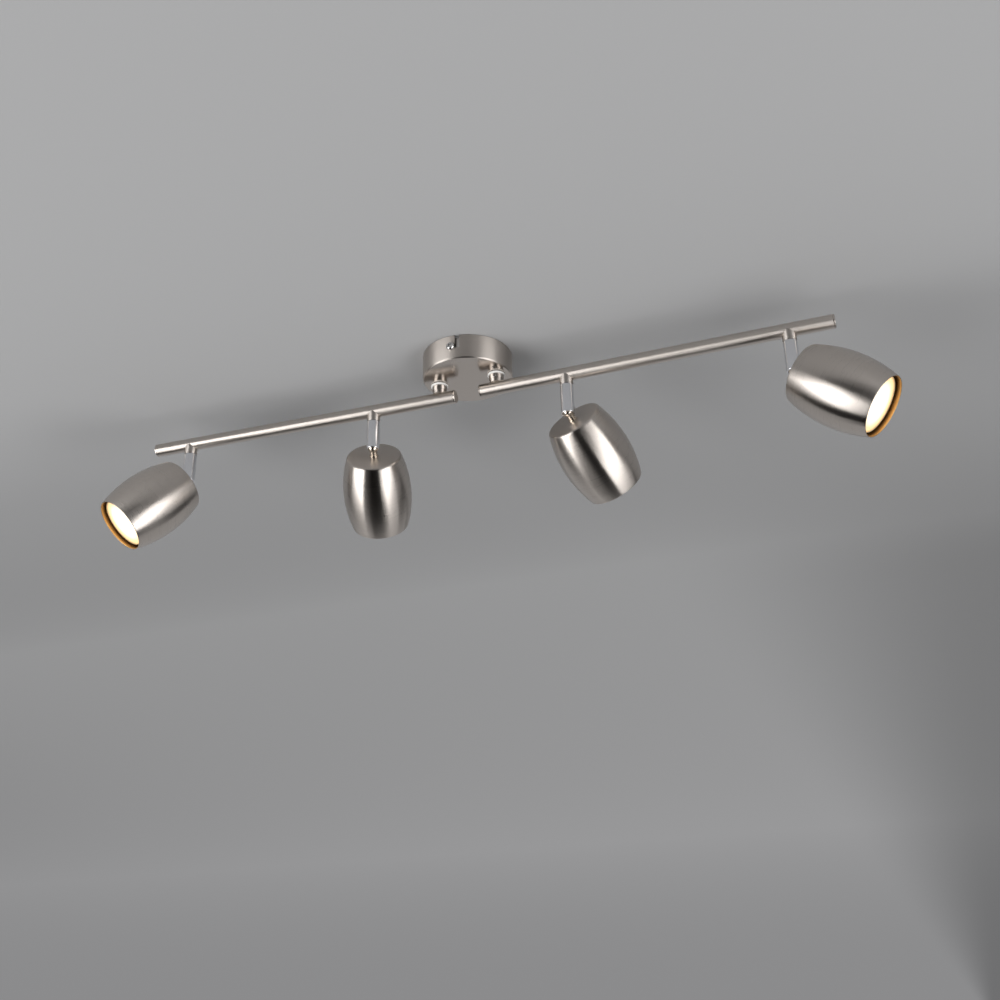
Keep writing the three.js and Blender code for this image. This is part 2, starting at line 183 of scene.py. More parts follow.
def turned(name, outline, sides=SMALL_SIDES):
    """A solid of revolution about Z from a closed outline of (radius, z) points."""
    work = bmesh.new()
    points = rounded(outline)
    rings = []
    for point in points:
        radius, z = point[0] * MM, point[1] * MM
        if radius < 1e-7:
            rings.append([work.verts.new((0, 0, z))] * sides)
            continue
        ring = []
        for i in range(sides):
            angle = 2 * math.pi * i / sides
            ring.append(work.verts.new((radius * math.cos(angle), radius * math.sin(angle), z)))
        rings.append(ring)
    for k, ring in enumerate(rings):
        following = rings[(k + 1) % len(rings)]
        for i in range(sides):
            j = (i + 1) % sides
            corners = list(dict.fromkeys((ring[i], ring[j], following[j], following[i])))
            if len(corners) > 2:
                work.faces.new(corners)
    return mesh_object(name, work)


def extruded(name, outline, width):
    """A bar along X whose cross-section is a closed outline of (y, z) points."""
    work = bmesh.new()
    points = rounded(outline)
    near, far = [
        [work.verts.new((x * MM, y * MM, z * MM)) for y, z in points] for x in (-width / 2, width / 2)
    ]
    work.faces.new(near)
    work.faces.new(far[::-1])
    for i in range(len(points)):
        work.faces.new((near[i - 1], near[i], far[i], far[i - 1]))
    return mesh_object(name, work)


def prism(name, width, depth, height, centre):
    """A block in millimetres, used for slots and recesses."""
    work = bmesh.new()
    bmesh.ops.create_cube(work, size=1)
    for vertex in work.verts:
        vertex.co = Vector((vertex.co.x * width, vertex.co.y * depth, vertex.co.z * height)) * MM
        vertex.co += Vector(centre) * MM
    return mesh_object(name, work)


def rod(name, radius, length, centre, axis="Z", sides=ROD_SIDES):
    """A plain round bar in millimetres, used for holes and saddles."""
    work = bmesh.new()
    ends = dict(segments=sides, radius1=radius * MM, radius2=radius * MM, depth=length * MM)
    bmesh.ops.create_cone(work, cap_ends=True, cap_tris=False, **ends)
    turns = {"Z": Matrix.Identity(4), "X": Matrix.Rotation(math.pi / 2, 4, "Y")}
    turns["Y"] = Matrix.Rotation(math.pi / 2, 4, "X")
    work.transform(Matrix.Translation(Vector(centre) * MM) @ turns[axis])
    return mesh_object(name, work)


def combined(piece, others, operation):
    """Applies boolean modifiers to a piece and removes the tools."""
    for tool in others:
        modifier = piece.modifiers.new("shape", "BOOLEAN")
        modifier.operation = operation
        modifier.solver = "EXACT"
        modifier.object = tool
    bpy.context.view_layer.update()
    shaped = piece.evaluated_get(bpy.context.evaluated_depsgraph_get())
    mesh = bpy.data.meshes.new_from_object(shaped)
    piece.modifiers.clear()
    piece.data = mesh
    for tool in others:
        bpy.data.objects.remove(tool)
    return smoothed(piece)


def carved(piece, *tools):
    return combined(piece, tools, "DIFFERENCE")


def remember_axis(mesh):
    """Keeps each point's own place, and a map that runs round the piece's own axis."""
    own = mesh.attributes.new("own", "FLOAT_VECTOR", "POINT")
    for vertex in mesh.vertices:
        own.data[vertex.index].vector = vertex.co
    around = mesh.uv_layers.new(name="around")
    for polygon in mesh.polygons:
        middle = math.atan2(polygon.center.y, polygon.center.x)
        for loop in polygon.loop_indices:
            point = mesh.vertices[mesh.loops[loop].vertex_index].co
            turn = math.atan2(point.y, point.x) - middle
            turn = (turn + math.pi) % (2 * math.pi) - math.pi
            around.data[loop].uv = (middle + turn, (point.z - MAP_SLOPE * point.xy.length) / MM)


def mark_faces(piece, finish, chosen):
    """Gives one of a piece's finishes, counted from 0, to the faces picked by centre (mm) and normal."""
    for polygon in piece.data.polygons:
        if chosen(polygon.center / MM, polygon.normal):
            polygon.material_index = finish


def placed(piece, matrix, body, slot, material, *nodes, others=()):
    """Sets a piece in the row frame, finishes it, and lets it stand for its CAD nodes."""
    for finish in (material, *others):
        piece.data.materials.append(finish)
    remember_axis(piece.data)
    piece.data.transform(matrix)
    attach(piece, body)
    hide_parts(*nodes)
    return piece


# ---- Materials ----


class Nodes:
    """A short way to write a material's node tree."""

    def __init__(self, name):
        self.material = bpy.data.materials.new(name)
        self.material.use_nodes = True
        self.tree = self.material.node_tree
        self.shader = self.tree.nodes["Principled BSDF"]

    def add(self, kind, **settings):
        node = self.tree.nodes.new(kind)
        for key, value in settings.items():
            setattr(node, key, value)
        return node

    def link(self, source, target):
        self.tree.links.new(source, target)

    def set(self, **values):
        for key, value in values.items():
            self.shader.inputs[key.replace("_", " ")].default_value = value

    def math(self, operation, *values):
        """A math node. Each value is a socket or a number."""
        node = self.add("ShaderNodeMath", operation=operation)
        for slot, value in zip(node.inputs, values):
            if isinstance(value, (int, float)):
                slot.default_value = value
            else:
                self.link(value, slot)
        return node.outputs["Value"]

    def noise(self, place, scale=1.0, detail=3.0, roughness=0.6):
        texture = self.add("ShaderNodeTexNoise")
        texture.inputs["Scale"].default_value = scale
        texture.inputs["Detail"].default_value = detail
        texture.inputs["Roughness"].default_value = roughness
        self.link(place, texture.inputs["Vector"])
        return texture.outputs["Fac"]

    def row_place(self):
        """Where a point is in the row frame, in metres."""
        return self.add("ShaderNodeTexCoord").outputs["Object"]

    def own_place(self):
        """Where a point is about its piece's own axis: x, y, z and the distance from the axis."""
        own = self.add("ShaderNodeAttribute", attribute_name="own").outputs["Vector"]
        split = self.add("ShaderNodeSeparateXYZ")
        self.link(own, split.inputs["Vector"])
        x, y, z = split.outputs
        radius = self.math("SQRT", self.math("ADD", self.math("MULTIPLY", x, x), self.math("MULTIPLY", y, y)))
        return x, y, z, radius

    def rings(self, around, along):
        """A place that changes fast from ring to ring, up the wall or out from the axis."""
        x, y, z, radius = self.own_place()
        ring = self.math("SUBTRACT", z, self.math("MULTIPLY", radius, RING_SLOPE))
        joined = self.add("ShaderNodeCombineXYZ")
        for slot, value, scale in zip(joined.inputs, (x, y, ring), (around, around, along)):
            self.link(self.math("MULTIPLY", value, scale), slot)
        return joined.outputs["Vector"]

    def ranged(self, value, low, high, source=(0.3, 0.7), interpolation="LINEAR"):
        node = self.add("ShaderNodeMapRange", interpolation_type=interpolation)
        node.inputs["From Min"].default_value = source[0]
        node.inputs["From Max"].default_value = source[1]
        node.inputs["To Min"].default_value = low
        node.inputs["To Max"].default_value = high
        self.link(value, node.inputs["Value"])
        return node.outputs["Result"]

    def blend(self, factor, first, second):
        node = self.add("ShaderNodeMix", data_type="RGBA")
        node.inputs["A"].default_value = (*first, 1)
        node.inputs["B"].default_value = (*second, 1)
        self.link(factor, node.inputs["Factor"])
        return node.outputs["Result"]

    def bump(self, height, distance, strength=1.0):
        node = self.add("ShaderNodeBump")
        node.inputs["Distance"].default_value = distance
        node.inputs["Strength"].default_value = strength
        self.link(height, node.inputs["Height"])
        self.link(node.outputs["Normal"], self.shader.inputs["Normal"])


# How far a finish wanders, as parts of its tone and as steps of its roughness.
BRUSHED_TONE = 0.025
SCRATCH_ROUGHNESS = 0.007
BAND_ROUGHNESS = 0.003
BAND_SCALES = (20.0, 350.0)  # noise cells per metre, around and along
SATIN_TONES = (0.95, 1.03)
CLOUD_SCALE = 60.0  # noise cells per metre


def brushed(name, color, roughness, anisotropy, lines=8000.0, around=60.0, bump=0.0000002):
    """Metal brushed round its own axis: fine rings of scratches, and a sheen that runs along the axis."""
    nodes = Nodes(name)
    nodes.set(Metallic=1.0, Anisotropic=anisotropy, Anisotropic_Rotation=0.25)
    tangent = nodes.add("ShaderNodeTangent", direction_type="UV_MAP", uv_map="around")
    nodes.link(tangent.outputs["Tangent"], nodes.shader.inputs["Tangent"])
    scratches = nodes.noise(nodes.rings(around, lines), detail=2.5)
    bands = nodes.noise(nodes.rings(*BAND_SCALES), detail=2.0)
    tone = nodes.math("ADD", nodes.ranged(scratches, -0.3, 0.3), nodes.ranged(bands, 0.3, 0.7))
    darker = tuple((1 - BRUSHED_TONE) * c for c in color)
    lighter = tuple(min(1.0, (1 + BRUSHED_TONE) * c) for c in color)
    nodes.link(nodes.blend(tone, darker, lighter), nodes.shader.inputs["Base Color"])
    rough = nodes.ranged(scratches, roughness - SCRATCH_ROUGHNESS, roughness + SCRATCH_ROUGHNESS)
    wander = nodes.ranged(bands, -BAND_ROUGHNESS, BAND_ROUGHNESS)
    nodes.link(nodes.math("ADD", rough, wander), nodes.shader.inputs["Roughness"])
    nodes.bump(scratches, bump)
    return nodes.material


def satin(name, color, roughness, grain=1600.0, metallic=1.0, depth=0.0000006, uneven=0.12):
    """A plain satin finish with a fine even grain."""
    nodes = Nodes(name)
    nodes.set(Metallic=metallic)
    fine = nodes.noise(nodes.row_place(), grain)
    cloud = nodes.noise(nodes.row_place(), CLOUD_SCALE, detail=2.0)
    darker = tuple(SATIN_TONES[0] * c for c in color)
    lighter = tuple(min(1.0, SATIN_TONES[1] * c) for c in color)
    nodes.link(nodes.blend(nodes.ranged(fine, 0, 1), darker, lighter), nodes.shader.inputs["Base Color"])
    rough = nodes.ranged(fine, (1 - uneven) * roughness, (1 + uneven) * roughness)
    spread = nodes.ranged(cloud, -0.6 * uneven * roughness, 0.6 * uneven * roughness)
    nodes.link(nodes.math("ADD", rough, spread), nodes.shader.inputs["Roughness"])
    nodes.bump(fine, depth)
    return nodes.material


# The lit lens: its colours and strengths from the middle to the rim, and one darker ring.
LENS_LIGHT = dict(middle=(1.0, 0.94, 0.78), rim=(1.0, 0.72, 0.38), bright=1.5, dim=0.85)
LENS_RING = dict(at=0.86, half=0.03, tone=0.72)  # parts of the lens's radius, and of its light
LENS_RIPPLE = dict(pitch=0.0015, depth=0.00005, strength=0.4)  # pitch and depth in metres


def lit_lens():
    """Frosted glass over a warm lamp: white in the middle, amber at the rim, fine rings."""
    nodes = Nodes("lit_lens")
    nodes.set(Base_Color=(0.38, 0.26, 0.13, 1), Roughness=0.3)
    radius = nodes.own_place()[3]
    rim = LENS["radius"] * MM
    edge = nodes.ranged(radius, 0, 1, source=(0.55 * rim, 0.97 * rim))
    color = nodes.blend(edge, LENS_LIGHT["middle"], LENS_LIGHT["rim"])
    nodes.link(color, nodes.shader.inputs["Emission Color"])
    glow = nodes.ranged(radius, LENS_LIGHT["bright"], LENS_LIGHT["dim"], source=(0.60 * rim, 0.97 * rim))
    off_line = nodes.math("ABSOLUTE", nodes.math("SUBTRACT", radius, LENS_RING["at"] * rim))
    line = nodes.ranged(off_line, LENS_RING["tone"], 1.0, source=(0.0, LENS_RING["half"] * rim))
    nodes.link(nodes.math("MULTIPLY", glow, line), nodes.shader.inputs["Emission Strength"])
    ripple = nodes.math("SINE", nodes.math("MULTIPLY", radius, 2 * math.pi / LENS_RIPPLE["pitch"]))
    nodes.bump(ripple, LENS_RIPPLE["depth"], LENS_RIPPLE["strength"])
    return nodes.material


NICKEL_TONE = (0.57, 0.522, 0.48)

NICKEL = brushed("brushed_nickel", NICKEL_TONE, 0.28, 0.91)
RAIL_NICKEL = brushed("rail_nickel", (0.61, 0.56, 0.515), 0.37, 0.94, around=200.0)
CANOPY_NICKEL = brushed("canopy_nickel", NICKEL_TONE, 0.42, 0.85, around=30.0)
PLAIN_NICKEL = satin("satin_nickel", NICKEL_TONE, 0.24)
CAP_NICKEL = satin("cap_nickel", NICKEL_TONE, 0.37)
POLISHED_NICKEL = satin("polished_nickel", NICKEL_TONE, 0.19)
# The shades' insides: nickel coloured orange, painted warm light from the lamps.
INSIDE_NICKEL_PAINTED_LAMPLIGHT = satin("inside_nickel_painted_lamplight", (0.70, 0.44, 0.19), 0.42)
CHROME = satin("chrome", (0.70, 0.69, 0.68), 0.14)
STEM_CHROME = satin("stem_chrome", (0.79, 0.795, 0.82), 0.21, depth=0.0000001, uneven=0.05)
BRACKET_STEEL = satin("bracket_steel", (0.62, 0.60, 0.58), 0.34)
KNUCKLE = satin("knuckle_nickel", (0.70, 0.62, 0.53), 0.16)
ZINC = satin("zinc_steel", (0.52, 0.53, 0.54), 0.42)
BRASS = satin("brass", (0.72, 0.55, 0.27), 0.3)
NYLON = satin("white_nylon", (0.80, 0.79, 0.77), 0.45, metallic=0.0)
CERAMIC = satin("ceramic", (0.78, 0.76, 0.70), 0.65, metallic=0.0)
# The white lamp housing coloured amber: painted warm light from its lamp.
LAMP_HOUSING_PAINTED_GLOW = satin("lamp_white_painted_glow", (0.74, 0.58, 0.34), 0.35, metallic=0.0)
LENS_GLOW = lit_lens()

# ---- Canopy ----


def bayonet_cutters(side):
    """The slot for one side screw: in at the rim, down, and across to the screw."""
    depth = BAYONET["depth"]
    y = side * (CANOPY["radius"] - BAYONET["inset"])
    x = -side * BAYONET["offset"]
    leg = -SCREW["z"] + BAYONET["width"] / 2
    return [
        prism("slot_down", BAYONET["width"], depth, leg + 1, (x, y, 1 - (leg + 1) / 2)),
        prism("slot_across", abs(x), depth, BAYONET["width"], (x / 2, y, SCREW["z"])),
        rod("slot_seat", BAYONET["width"] / 2, depth, (0, y, SCREW["z"]), axis="Y"),
    ]


def make_canopy():
    radius, height, wall, edge = (CANOPY[k] for k in ("radius", "height", "wall", "edge"))
    cup = turned("canopy_shell", [
        (0, -height), (radius - edge, -height, 0.25), (radius, -height + edge, 0.35),
        (radius, 0, 0.2), (radius - wall, 0, 0.2), (radius - wall, -height + wall, 0.5),
        (0, -height + wall),
    ], sides=CANOPY_SIDES)
    holes = []
    for side in ("left", "right"):
        x = JOINTS[f"arm_{side}_swing"]["pos_m"][0] / MM
        holes.append(rod("post_hole", POST["spigot"] + 0.3, 6, (x, 0, -height)))
    carved(cup, *bayonet_cutters(-1), *bayonet_cutters(1), *holes)
    mark_faces(cup, 1, lambda centre, normal: normal.z < -0.95)
    placed(cup, Matrix.Identity(4), "canopy", "brushed_nickel", CANOPY_NICKEL, "canopy_cup",
           others=(POLISHED_NICKEL,))


def make_side_screw(name, side, node):
    """A pan-head screw with a cross recess, its head against the cup's wall."""
    head, rise, shank, length = (SCREW[k] for k in ("head", "rise", "shank", "length"))
    screw = turned(name, [
        (0, -length), (shank, -length, 0.4), (shank, 0), (head, 0, 0.2), (head, 0.45 * rise, 0.5),
        (0.8 * head, 0.85 * rise, 1.0), (0.45 * head, rise, 1.5), (0, rise),
    ])
    long, short = SCREW_CROSS["long"] * head, SCREW_CROSS["short"] * head
    centre = (0, 0, SCREW_CROSS["depth"] * rise)
    arms = [prism("cross", x, y, rise, centre) for x, y in ((short, long), (long, short))]
    carved(screw, *arms)
    twist = Matrix.Rotation(math.radians(SCREW_CROSS["twist"]), 4, "Z")
    place = Matrix.Translation(Vector((0, side * (CANOPY["radius"] + SCREW["proud"]), SCREW["z"])) * MM)
    lean = Matrix.Rotation(-side * math.pi / 2, 4, "X")
    placed(screw, place @ lean @ twist, "canopy", "chrome", CHROME, node)


def make_bracket():
    """The strip that the cup hangs on, with both ends bent down and slots for the ceiling screws."""
    keys = ("width", "thickness", "reach", "flange", "bend")
    width, thick, reach, flange, bend = (BRACKET[k] for k in keys)
    strip = extruded("bracket_strip", [
        (-reach, -flange, 0.3), (-reach, 0, bend), (reach, 0, bend), (reach, -flange, 0.3),
        (reach - thick, -flange, 0.3), (reach - thick, -thick, bend - thick),
        (-reach + thick, -thick, bend - thick), (-reach + thick, -flange, 0.3),
    ], width)
    holes = [rod("earth_hole", EARTH_HOLE["radius"], 6, (0, EARTH_HOLE["y"], 0))]
    slot_width, straight = BRACKET_SLOT["width"], BRACKET_SLOT["length"] - BRACKET_SLOT["width"]
    for side in (-1, 1):
        y = side * BRACKET_SLOT["spacing"] / 2
        holes.append(prism("slot", slot_width, straight, 6, (0, y, 0)))
        holes += [rod("slot_tip", slot_width / 2, 6, (0, y + tip * straight / 2, 0)) for tip in (-1, 1)]
        holes.append(rod("screw_hole", BRACKET["hole"], 8, (0, side * reach, SCREW["z"]), axis="Y"))
    carved(strip, *holes)
    placed(strip, Matrix.Identity(4), "canopy", "zinc_steel", BRACKET_STEEL, "mounting_bracket")


def make_canopy_fittings():
    make_side_screw("front_screw", -1, "side_screw_front")
    make_side_screw("back_screw", 1, "side_screw_back")
    make_bracket()


# ---- Arms ----


def rail_saddle(name, clearance=0.05):
    """A bar the size of the rail, along X, for cutting what sits astride it."""
    return rod(name, RAIL["radius"] + clearance, 60, (0, 0, RAIL["z"]), axis="X", sides=TUBE_SIDES)


def thread(radius, low, high):
    """The ridges of a thread, as an outline from low to high."""
    ridges = []
    z = low
    while z + THREAD["pitch"] < high:
        ridges += [(radius, z), (radius - THREAD["depth"], z + THREAD["pitch"] / 2)]
        z += THREAD["pitch"]
    return ridges


def make_post(side, matrix):
    shoulder = POST["top"] - POST["height"]
    post = turned(f"post_{side}", [
        (POST["bore"], POST["collar_foot"]), (POST["collar"], POST["collar_foot"]),
        (POST["collar"], shoulder), (POST["radius"], shoulder, 0.5), (POST["radius"], POST["top"], 0.3),
        (POST["spigot"], POST["top"]), *thread(POST["spigot"], LOCK_NUT["low"], SPIGOT_TOP),
        (POST["spigot"], SPIGOT_TOP, 0.3), (POST["bore"], SPIGOT_TOP),
    ])
    y = -POST["radius"]
    z = POST["top"] - POST["height"] / 2
    carved(post, rail_saddle("saddle"), rod("grub_hole", GRUB["radius"] + 0.15, 7, (0, y, z), axis="Y"))
    placed(post, matrix, f"arm_{side}", "brushed_nickel", RAIL_NICKEL, f"swivel_post_{side}")

    grub = turned(f"grub_{side}", [
        (0, -GRUB["length"]), (GRUB["radius"], -GRUB["length"], 0.2), (GRUB["radius"], 0, 0.25), (0, 0),
    ], sides=GRUB_SIDES)
    carved(grub, rod("socket", GRUB["socket"], 3, (0, 0, 0), sides=6))
    seat = Matrix.Translation(Vector((0, y + 0.1, z)) * MM) @ Matrix.Rotation(math.pi / 2, 4, "X")
    placed(grub, matrix @ seat, f"arm_{side}", "zinc_steel", CHROME, f"grub_screw_{side}")


def make_lock_nut(side, matrix):
    """A hexagon nut with both its faces chamfered at the corners."""
    across, height, low = LOCK_NUT["across"], LOCK_NUT["height"], LOCK_NUT["low"]
    chamfer = LOCK_NUT["chamfer"]
    corner = across / math.sqrt(3)
    nut = rod(f"nut_{side}", corner, height, (0, 0, low + height / 2), sides=6)
    chamfered = turned("chamfer", [
        (0, low), (0.5 * across, low), (corner, low + chamfer), (corner, low + height - chamfer),
        (0.5 * across, low + height), (0, low + height),
    ])
    combined(nut, [chamfered], "INTERSECT")
    carved(nut, rod("nut_hole", LOCK_NUT["hole"], 20, (0, 0, low)))
    placed(nut, matrix, f"arm_{side}", "zinc_steel", ZINC, f"lock_nut_{side}")


def make_washer(side, matrix):
    low = WASHER["top"] - WASHER["thickness"]
    washer = turned(f"washer_{side}", [
        (WASHER["hole"], low), (WASHER["radius"], low, 0.35),
        (WASHER["radius"], WASHER["top"], 0.35), (WASHER["hole"], WASHER["top"]),
    ])
    placed(washer, matrix, f"arm_{side}", "white_nylon", NYLON, f"friction_washer_{side}")


def along_rail(matrix, x, direction=1):
    """Local Z turned along the rail at a place measured from the post."""
    place = Matrix.Translation(Vector((x, 0, RAIL["z"])) * MM)
    return matrix @ place @ Matrix.Rotation(direction * math.pi / 2, 4, "Y")


def make_rail(side, matrix):
    post = abs(JOINTS[f"arm_{side}_swing"]["pos_m"][0]) / MM
    start = RAIL["start"] - post
    end = RAIL["end"] - post
    inset = CAP["thickness"] + CAP["seam"]
    length = end - start - 2 * inset
    outer, inner = RAIL["radius"], RAIL["radius"] - RAIL["wall"]
    rail = turned(f"rail_{side}", [
        (inner, 0), (outer, 0, 0.15), (outer, length, 0.15), (inner, length),
    ], sides=TUBE_SIDES)
    placed(rail, along_rail(matrix, start + inset), f"arm_{side}", "brushed_nickel", RAIL_NICKEL,
           f"rail_tube_{side}")
    for which, x, direction in (("inner", start, -1), ("outer", end, 1)):
        cap = turned(f"{which}_cap_{side}", [
            (0, -CAP["recess"]), (outer - 1.5, -CAP["recess"], 0.4), (outer - 1.25, 0, 0.1),
            (outer - CAP["bevel"], 0, 0.2),
            (outer, -CAP["bevel"], 0.2), (outer, -CAP["thickness"], 0.05),
            (inner - CAP["gap"], -CAP["thickness"]),
            (inner - CAP["gap"], -CAP["thickness"] - CAP["plug"], 0.3),
            (0, -CAP["thickness"] - CAP["plug"]),
        ])
        placed(cap, along_rail(matrix, x, direction), f"arm_{side}", "brushed_nickel", PLAIN_NICKEL,
               f"{which}_end_cap_{side}")


def make_arm(side):
    matrix = arm_matrix(side)
    make_post(side, matrix)
    make_washer(side, matrix)
    make_lock_nut(side, matrix)
    make_rail(side, matrix)


# ---- Spots ----


def make_sleeve(number):
    sleeve = turned(f"sleeve_{number}", [
        (SLEEVE["bore"], RAIL["z"]), (SLEEVE["bore"], SLEEVE["spigot_foot"]),
        (SLEEVE["spigot"], SLEEVE["spigot_foot"]), (SLEEVE["spigot"], SLEEVE["bottom"]),
        (SLEEVE["radius"], SLEEVE["bottom"], 0.25), (SLEEVE["radius"], RAIL["z"]),
    ])
    carved(sleeve, rail_saddle("saddle"))
    placed(sleeve, sleeve_matrix(number), f"arm_{arm_of(number)}", "brushed_nickel", RAIL_NICKEL,
           f"stem_sleeve_{number}")


def make_tube(number):
    """The chrome stem, rolled in at its foot round the ball, with a slot on its leaning side."""
    pivot = JOINTS[f"spot_{number}_tilt"]["pos_m"][2] / MM
    outer, bore, lip = TUBE["radius"], TUBE["bore"], TUBE["lip"]
    tube = turned(f"tube_{number}", [
        (lip, TUBE["bottom"], 0.15), (outer, TUBE["bottom"], 0.6), (outer, TUBE["top"], 0.3),
        (bore, TUBE["top"]), (bore, TUBE["bottom"] + 0.9), (lip, TUBE["bottom"] + 0.5),
    ], sides=TUBE_SIDES)
    half = BALL["neck"] + 0.3
    drop = pivot - TUBE["bottom"] + 1
    slot = prism("slot", outer + 2, 2 * half, drop, (outer / 2 + 1, 0, pivot - drop / 2))
    top = rod("slot_top", half, outer + 2, (outer / 2 + 1, 0, pivot), axis="X")
    carved(tube, slot, top)
    placed(tube, stem_matrix(number), f"stem_{number}", "chrome", STEM_CHROME, f"stem_tube_{number}")


def make_knuckle(number):
    """A hollow ball with a ringed neck that goes through the shade's cap."""
    radius, neck, bore, collar = (BALL[k] for k in ("radius", "neck", "bore", "collar"))
    outline = []
    first = math.acos(bore / radius)
    last = -math.acos(neck / radius)
    for i in range(BALL_STEPS + 1):
        angle = first + (last - first) * i / BALL_STEPS
        outline.append((radius * math.cos(angle), radius * math.sin(angle)))
    face = -SHADE["cap"] + 0.05
    outline += [(neck, face + 2.6), (neck - 0.35, face + 2.3), (neck, face + 2.0), (neck, face + 1.2)]
    outline += [(collar, face + 1.1, 0.25), (collar, face)]
    outline += [(neck, face), (neck, NECK_END, 0.3), (bore, NECK_END)]
    knuckle = turned(f"neck_{number}", outline)
    placed(knuckle, head_matrix(number), f"head_{number}", "knuckle_nickel", KNUCKLE, f"knuckle_{number}")


def shade_radius(below):
    """The shade's outer radius at a distance below its cap: one arc, widest near the middle."""
    away = below - SHADE["widest"]
    return SHADE["radius"] - SHADE["arc"] + math.sqrt(SHADE["arc"] ** 2 - away ** 2)


def make_shade(number):
    """A spun can with a soft cap edge and a rounded mouth. Its inside is nickel coloured orange, painted warm
    light from the lamp.
    """
    wall, length, cap = SHADE["wall"], SHADE["length"], SHADE["cap"]
    outside = [(SHADE["hole"], 0), (SHADE["hole"] + 4, 0), (shade_radius(0), 0, SHADE["round"])]
    inside = []
    for i in range(1, SHADE_STEPS + 1):
        below = length * i / SHADE_STEPS
        outside.append((shade_radius(below), below))
        inside.append((shade_radius(below) - wall, below))
    outside[-1] = (*outside[-1], 0.4)
    inside[-1] = (*inside[-1], 0.4)
    inside = [(shade_radius(wall) - wall, wall, 1.5), *inside]
    outline = [*outside, *inside[::-1], (SHADE["hole"], wall)]
    outline = [(point[0], -cap - point[1], *point[2:]) for point in outline]
    shade = turned(f"spot_{number}_shade", outline, sides=SPOT_SIDES)
    mark_faces(shade, 1, lambda centre, normal: normal.z > 0.95 and centre.z > -cap - 0.5 * wall)
    # The faces inside the shade and round its mouth get the orange of painted lamplight.
    mark_faces(shade, 2, lambda centre, normal: normal.xy.dot(centre.xy) < -0.1 or centre.z < -cap - length)
    placed(shade, head_matrix(number), f"head_{number}", "brushed_nickel", NICKEL, f"shade_{number}",
           others=(CAP_NICKEL, INSIDE_NICKEL_PAINTED_LAMPLIGHT))


def make_lamp(number):
    """The lamp's housing with a stepped rim, and the lit lens inside it."""
    face = -SHADE["cap"] - SHADE["length"] + LENS["recess"]
    top = face + LAMP["length"]
    seat = face + LENS["thickness"] + 0.3
    housing = turned(f"lamp_{number}", [
        (0, seat), (LENS["radius"] + 0.3, seat), (LENS["radius"] + 0.3, face - 0.6, 0.2),
        (LAMP["radius"], face - 0.6, 0.5), (LAMP["radius"], face + LAMP["rim"], 0.6),
        (0.92 * LAMP["radius"], face + LAMP["rim"] + 4, 2), (0.7 * LAMP["radius"], face + 22, 6),
        (LAMP["base_radius"], top - LAMP["base"], 1.5), (LAMP["base_radius"], top, 0.5), (0, top),
    ], sides=SPOT_SIDES)
    radius, length, away, rise = (LAMP_PIN[k] for k in ("radius", "length", "away", "rise"))
    pins = [rod("pin", radius, length, (0, side * away, top + rise)) for side in (-1, 1)]
    combined(housing, pins, "UNION")
    placed(housing, head_matrix(number), f"head_{number}", "lamp_body", LAMP_HOUSING_PAINTED_GLOW, f"lamp_body_{number}")

    radius = LENS["radius"]
    lens = turned(f"lens_{number}", [
        (0, face - 0.35), (0.6 * radius, face - 0.25), (radius - 1.6, face, 0.3), (radius - 1.2, face + 0.35),
        (radius - 0.9, face, 0.15), (radius, face, 0.15),
        (radius, face + LENS["thickness"]), (0, face + LENS["thickness"]),
    ], sides=SPOT_SIDES)
    placed(lens, head_matrix(number), f"head_{number}", "lamp_lens", LENS_GLOW, f"lamp_lens_{number}")


def make_spot(number):
    make_sleeve(number)
    make_tube(number)
    make_knuckle(number)
    make_shade(number)
    make_lamp(number)


# ---- CAD nodes that stay as they are ----

KEPT_FINISHES = {
    "terminal_block": NYLON,
    "earth_screw": BRASS,
    "shade_nut": ZINC,
    "ball_seat": NYLON,
    "lamp_holder": CERAMIC,
}


def finish_kept_nodes():
    for name, node in frame["nodes"].items():
        for start, material in KEPT_FINISHES.items():
            if name.startswith(start):
                node.data.materials.clear()
                node.data.materials.append(material)


# ---- Studio ----

# The ceiling's tone at places along Y, in metres, from near the camera to far behind the fixture: painted
# light and shade, with a painted shadow just behind the fixture and painted light far away.
CEILING_PAINTED_LIGHT_AND_SHADE = [(-0.4, 0.37), (-0.05, 0.37), (0.12, 0.29), (0.6, 0.29), (3.2, 0.68)]
# Painted shade: the ceiling darkens towards the right and away from the camera: spans of X and Y, and the
# tone left.
CEILING_SIDE_SHADE = dict(across=(0.0, 0.5), away=(0.2, 0.8), tone=0.62)
CEILING_SIZE = 200  # metres, so that its edge is out of sight
CEILING_GAP = 0.0003  # metres between the ceiling and the canopy's rim
CEILING_GRAIN = dict(scale=900.0, depth=0.00002)  # noise cells per metre, and metres
# A faint glow above the open canopy lights its inside in views from above.
CANOPY_LIGHT = dict(radius=0.038, strength=0.12)
# The dark room past the near edge of the ceiling, as reflections see it: a span of Y and a width.
BEHIND_CAMERA = dict(near=-0.5, far=-6.0, width=3.0, drop=0.002)
SOFTBOX_DISTANCE = 2.5
SCREEN_DISTANCE = 2.7
WATTS_FOR_RADIANCE = 4  # for each square metre of an area light
SCREEN_BLACK = 0.004
ROOM_GREY = (0.42, 0.42, 0.425)
CAMERA = dict(place=(0.3695, -0.9242, -0.5905), heading=-20.17, rise=23.91, roll=-1.16, lens=43.25)


def stage_plane(name, width, depth, matrix):
    """A flat rectangle that belongs to the studio and not to the fixture."""
    work = bmesh.new()
    bmesh.ops.create_grid(work, x_segments=1, y_segments=1, size=0.5)
    for vertex in work.verts:
        vertex.co.x *= width
        vertex.co.y *= depth
    plane = mesh_object(name, work)
    plane.matrix_world = matrix
    return plane


